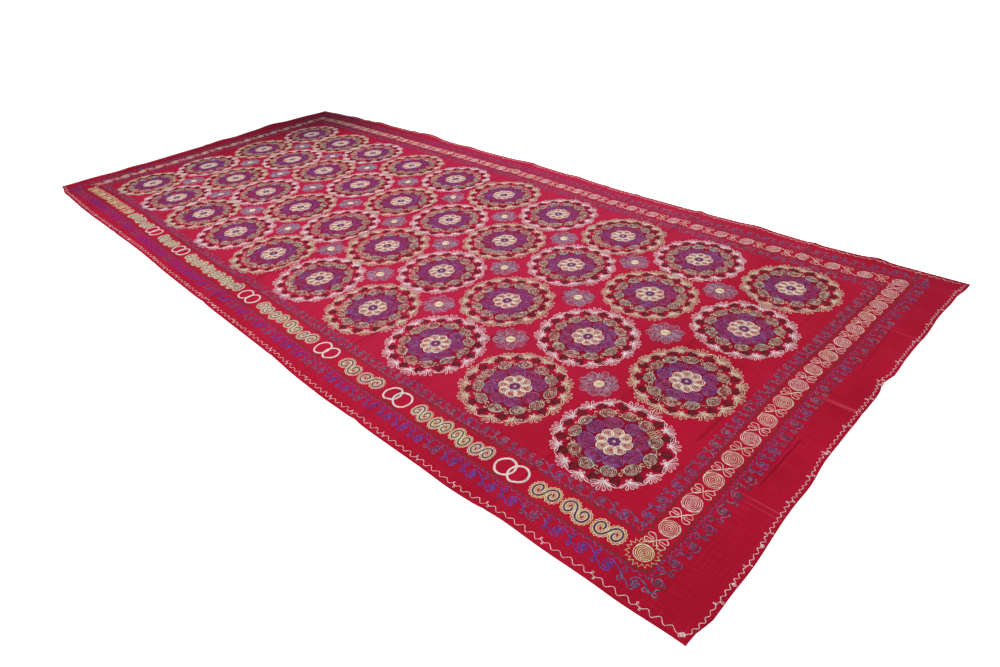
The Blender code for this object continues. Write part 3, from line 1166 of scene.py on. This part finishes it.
CORNER_DISC = (2.259, -0.934)
ray = []
for k in range(19):
    for share, far in ((0.0, 0.036), (0.5, 0.048)):
        angle = 2.0 * math.pi * (k + share) / 18.0
        ray.append((far * math.cos(angle), far * math.sin(angle)))
disc_places.append(spot(*CORNER_DISC, 0.4, 0.028, 0.028, 0, 2))
disc_places.append(spot(*CORNER_DISC, 0.0, 1.0, 1.0, 3, 2))
disc_shades = [
    ((208, 166, 156), (255, 252, 246)),
    ((214, 178, 158), (255, 248, 232)),
    ((200, 208, 140), (246, 252, 210)),
]
work("cream_discs", [[spiral(5.4, 78, 0.06)], brackets, [disc_link], [ray]], disc_places,
     thread("disc_thread", disc_shades), len(disc_shades), waver=0.0012, width=0.0027)

# The front ornament
# A running scroll whose two ends roll up, one over and one under. It is a broad stroke of yellowish
# cream with a spiky edge, and a violet line is worked along its middle.
ORNAMENT_RUNS = [  # where a run starts and ends, along x
    (1.876, 2.205), (1.327, 1.711), (0.884, 1.152), (0.211, 0.697), (-0.571, 0.025),
    (-0.955, -0.739), (-1.448, -1.130),
]
ORNAMENT_UNIT = 0.108
ROLL_HALF = (0.0232, 0.0296)
ROLL_TURNS = 1.16
ROLL_CENTRE = 0.0240


def evenly(line, step):
    """The line again, with points at equal steps along it."""
    out, rest = [line[0]], step
    for (ax, ay), (bx, by) in zip(line, line[1:]):
        length = math.hypot(bx - ax, by - ay)
        while rest < length:
            out.append((ax + (bx - ax) * rest / length, ay + (by - ay) * rest / length))
            rest += step
        rest -= length
    return out


def beside(line, step, offsets):
    """A line that zigzags beside another one: its points lie off to the side by each offset in turn."""
    points = evenly(line, step)
    out = []
    for k in range(1, len(points) - 1):
        dx = points[k + 1][0] - points[k - 1][0]
        dy = points[k + 1][1] - points[k - 1][1]
        length = math.hypot(dx, dy) or 1.0
        off = offsets[k % len(offsets)]
        out.append((points[k][0] - dy / length * off, points[k][1] + dx / length * off))
    return out


roll = []
for k in range(31):
    angle = 2.0 * math.pi * ROLL_TURNS * k / 30
    share = 1.0 - 0.70 * k / 30
    roll.append((
        ROLL_HALF[0] * share * math.cos(angle) - ROLL_CENTRE,
        ROLL_HALF[1] * share * math.sin(angle),
    ))
scroll = roll[::-1] + [(-x, -y) for x, y in roll]
fills = [beside(scroll, 0.0016, (-0.0076, 0.0076))]
fills += [beside(scroll, 0.0050, (side * 0.0052,)) for side in (-1.0, 1.0)]
fills += [beside(scroll, 0.0040, (side * 0.0084, side * 0.0124)) for side in (-1.0, 1.0)]
cores = [beside(scroll, 0.0050, (side * 0.0010,)) for side in (-1.0, 1.0)]

ornament_places = []
for start, end in ORNAMENT_RUNS:
    count = max(1, round((end - start) / ORNAMENT_UNIT))
    step = (end - start) / count
    for k in range(count):
        x, y = row_spot("front", end - (k + 0.5) * step, 0.0)
        wide = step / ORNAMENT_UNIT * (1.0 if k % 2 else -1.0)
        ornament_places.append(spot(x, y, chance.uniform(-0.04, 0.04), wide, 1.0, 0, chance.randrange(2)))
ornament_shades = [((222, 224, 150), (255, 255, 214)), ((228, 218, 164), (255, 255, 226))]
work("front_ornament", [fills], ornament_places, thread("ornament_thread", ornament_shades),
     len(ornament_shades), waver=0.0010, width=0.0026)
core_shades = [((26, 0, 74), (72, 24, 132)), ((20, 4, 84), (88, 22, 120))]
work("ornament_lines", [cores], ornament_places, thread("core_thread", core_shades, 0.4, 0.35),
     len(core_shades), waver=0.0008, width=0.0026, lift=0.0009, height=0.0014)

# The paired rings
# Pairs of linked white rings part the runs of the front ornament. Each ring is three rounds of chain
# stitch side by side.
RING_PAIRS = [  # the middle of a pair along x, and how far apart the rings' middles are
    (1.794, 0.054), (1.240, 0.055), (0.785, 0.060), (0.114, 0.066), (-0.663, 0.058), (-1.058, 0.057),
]
ring_lines = [
    [
        (far * math.cos(2.0 * math.pi * k / 36), far * math.sin(2.0 * math.pi * k / 36))
        for k in range(37)
    ]
    for far in (0.0318, 0.0342, 0.0366)
]
ring_places = []
for middle, gap in RING_PAIRS:
    for side in (-0.5, 0.5):
        x, y = row_spot("front", middle + side * gap, 0.0)
        ring_places.append(spot(x, y, chance.uniform(0.0, 6.0), 1.0, chance.uniform(1.0, 1.08)))
ring_shades = [((222, 206, 204), (255, 250, 246))]
work("paired_rings", [ring_lines], ring_places, thread("ring_thread", ring_shades), 1, waver=0.0014)

# The edge thread
# A white line wanders along the hem all the way round. It waves, throws a pair of small loops now and
# then, and has a few knots where a thread was joined.
EDGE_LINES = {  # the edge, how far in the thread runs, the pitch of its waves and their reach
    "near": (NEAR_EDGE, 0.0135, 0.0230, 0.0045),
    "front": (FRONT_EDGE, 0.0200, 0.0370, 0.0075),
    "far": (FAR_EDGE, 0.0140, 0.0280, 0.0050),
    "back": (BACK_EDGE, 0.0230, 0.0300, 0.0055),
}
LOOP_EVERY = (0.10, 0.17)
LOOP_RADIUS = 0.0050
LOOP_DRIFT = 0.012


def edge_spot(side, place, inward):
    """The point at a place along an edge of the cloth, a distance in from it."""
    return side_spot(side, EDGE_LINES[side][0], place, -inward)


def edge_line(side, start, end):
    """The waving thread along one edge, with its loops."""
    _, inward, pitch, swing = EDGE_LINES[side]
    line = []
    place = start
    next_loop = start + chance.uniform(0.05, 0.12)
    phase = 0.0
    while place < end:
        reach = swing * (0.9 + 0.5 * noise.noise(Vector((place * 17.0, inward * 100.0, 0.0))))
        line.append(edge_spot(side, place, inward + reach * math.sin(phase)))
        if place > next_loop and place < end - 0.04 and abs(math.sin(phase)) < 0.5:
            for way in (1.0, -1.0):
                radius = LOOP_RADIUS * chance.uniform(0.85, 1.15)
                for k in range(1, 11):
                    angle = 2.0 * math.pi * k / 10
                    forth = radius * math.sin(angle) + LOOP_DRIFT * k / 10
                    out = way * radius * (1.0 - math.cos(angle))
                    line.append(edge_spot(side, place + forth, inward + out))
                place += LOOP_DRIFT
            next_loop = place + chance.uniform(*LOOP_EVERY)
            phase = 0.0
        place += pitch / 10.0
        phase += 2.0 * math.pi / 10.0 * chance.uniform(0.75, 1.25)
    return line


edge_lines = [
    edge_line("near", -1.065, 1.060),
    edge_line("front", -2.410, 2.462),
    edge_line("far", -1.065, 1.060),
    edge_line("back", -2.450, 2.480),
]
KNOTS = [
    (2.463, -0.272), (2.477, -0.712), (2.481, -0.868), (2.470, 0.165), (2.472, 0.180),
    (2.455, -1.062), (2.452, -1.068), (0.055, -1.118), (-1.060, -1.108),
]
edge_places = [spot(0.0, 0.0, motif=k) for k in range(len(edge_lines))]
for x, y in KNOTS:
    edge_places.append(spot(x, y, chance.uniform(0.0, 6.0), 0.0045, 0.0055, len(edge_lines)))
edge_shades = [((214, 176, 178), (255, 244, 242))]
work("edge_thread", [[line] for line in edge_lines] + [[spiral(2.2, 20)]], edge_places,
     thread("edge_thread", edge_shades), 1, waver=0.0012, waver_size=0.05, width=0.0023)

# The floor, the light and the camera
# A plain white floor, a lamp high over the middle whose light falls off towards the far corner at the
# back, a weak soft panel behind the cloth that glints on the thread, and an even light all round.
PANEL_PLACE = (0.2, 4.4, 2.4)
PANEL_TARGET = (1.2, 0.2, 0.0)
PANEL_POWER = 30.0
PANEL_SIZE = (3.0, 1.2)
FLOOR_HALF = 40.0
LAMP_PLACE = (0.0, -0.73, 5.8)
LAMP_TARGET = (0.38, -0.90, 0.0)
LAMP_POWER = 1060.0
LAMP_HALF_ANGLE = 0.543
LAMP_BLEND = 0.45
LAMP_RADIUS = 0.25
SKY_STRENGTH = 0.20
floor_mesh = bpy.data.meshes.new("floor")
corners = [(-1, -1), (1, -1), (1, 1), (-1, 1)]
floor_mesh.from_pydata([(x * FLOOR_HALF, y * FLOOR_HALF, -0.0005) for x, y in corners], [], [(0, 1, 2, 3)])
floor = bpy.data.objects.new("floor", floor_mesh)
bpy.context.scene.collection.objects.link(floor)
floor_material, floor_kit, floor_shader = new_material("white_floor", 0.9, 0.0, 0.0)
floor_shader["Base Color"].default_value = (0.85, 0.85, 0.85, 1.0)
floor_shader["Emission Color"].default_value = (1.0, 1.0, 1.0, 1.0)
floor_shader["Emission Strength"].default_value = 1.0
floor_mesh.materials.append(floor_material)

world = bpy.data.worlds.new("studio")
world.use_nodes = True
world.node_tree.nodes["Background"].inputs["Color"].default_value = (1.0, 1.0, 1.0, 1.0)
world.node_tree.nodes["Background"].inputs["Strength"].default_value = SKY_STRENGTH
bpy.context.scene.world = world


def hung(name, kind, place, target, power):
    """A lamp of one kind at a place, aimed at a target."""
    made = bpy.data.objects.new(name, bpy.data.lights.new(name, kind))
    made.data.energy = power
    way = Vector(place) - Vector(target)
    made.matrix_world = Matrix.Translation(place) @ way.to_track_quat("Z", "Y").to_matrix().to_4x4()
    bpy.context.scene.collection.objects.link(made)
    return made


lamp = hung("lamp", "SPOT", LAMP_PLACE, LAMP_TARGET, LAMP_POWER)
lamp.data.spot_size = 2.0 * LAMP_HALF_ANGLE
lamp.data.spot_blend = LAMP_BLEND
lamp.data.shadow_soft_size = LAMP_RADIUS
panel = hung("panel", "AREA", PANEL_PLACE, PANEL_TARGET, PANEL_POWER)
panel.data.shape = "RECTANGLE"
panel.data.size, panel.data.size_y = PANEL_SIZE

CAMERA_PLACE = (2.8084, -1.8974, 1.4450)
CAMERA_RIGHT = Vector((0.70909811, 0.70227009, -0.06321857))
CAMERA_AHEAD = Vector((-0.60825036, 0.56387553, -0.55863752))
CAMERA_LENS = 22.966
CAMERA_SENSOR = 36.0

camera = bpy.data.objects.new("camera", bpy.data.cameras.new("camera"))
camera.data.lens = CAMERA_LENS
camera.data.sensor_width = CAMERA_SENSOR
camera.data.clip_end = 200.0
up = CAMERA_RIGHT.cross(CAMERA_AHEAD)
turned = Matrix((CAMERA_RIGHT, up, -CAMERA_AHEAD)).transposed()
camera.matrix_world = Matrix.Translation(CAMERA_PLACE) @ turned.to_4x4()
bpy.context.scene.collection.objects.link(camera)
bpy.context.scene.camera = camera
bpy.context.scene.view_settings.view_transform = "Standard"
